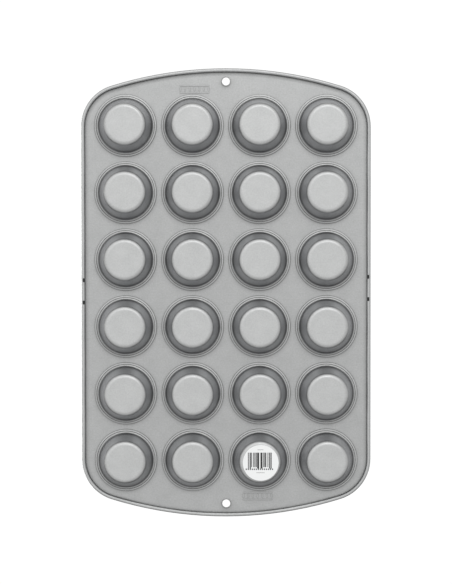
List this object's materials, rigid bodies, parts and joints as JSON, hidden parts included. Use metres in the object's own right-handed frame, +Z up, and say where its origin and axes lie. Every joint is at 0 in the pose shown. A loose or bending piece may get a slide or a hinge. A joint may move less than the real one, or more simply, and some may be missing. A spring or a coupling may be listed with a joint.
{
  "type": "muffin tin",
  "caption": "Muffin tin: round tapered cups crimped into a rounded flat deck with a wired rolled edge and a hanging hole at each end, for baking small muffins.",
  "frame": {"origin": "on the surface that the tin stands on, under the middle of the deck", "axes": "+Z up, out of the cups' mouths; +Y along the tin's length; +X across its width"},
  "size_m": [0.258, 0.4, 0.0211],
  "materials": {
    "coated_steel": "satin",
    "black_wire": "matte",
    "paper_label": "matte"
  },
  "bodies": {
    "root": {"deck": "coated_steel", "rim_wire": "black_wire", "cup_1_1": "coated_steel", "cup_1_2": "coated_steel", "cup_1_3": "coated_steel", "cup_1_4": "coated_steel", "cup_2_1": "coated_steel", "cup_2_2": "coated_steel", "cup_2_3": "coated_steel", "cup_2_4": "coated_steel", "cup_3_1": "coated_steel", "cup_3_2": "coated_steel", "cup_3_3": "coated_steel", "cup_3_4": "coated_steel", "cup_4_1": "coated_steel", "cup_4_2": "coated_steel", "cup_4_3": "coated_steel", "cup_4_4": "coated_steel", "cup_5_1": "coated_steel", "cup_5_2": "coated_steel", "cup_5_3": "coated_steel", "cup_5_4": "coated_steel", "cup_6_1": "coated_steel", "cup_6_2": "coated_steel", "cup_6_3": "coated_steel", "cup_6_4": "coated_steel", "barcode_label": "paper_label"}
  },
  "joints": []
}
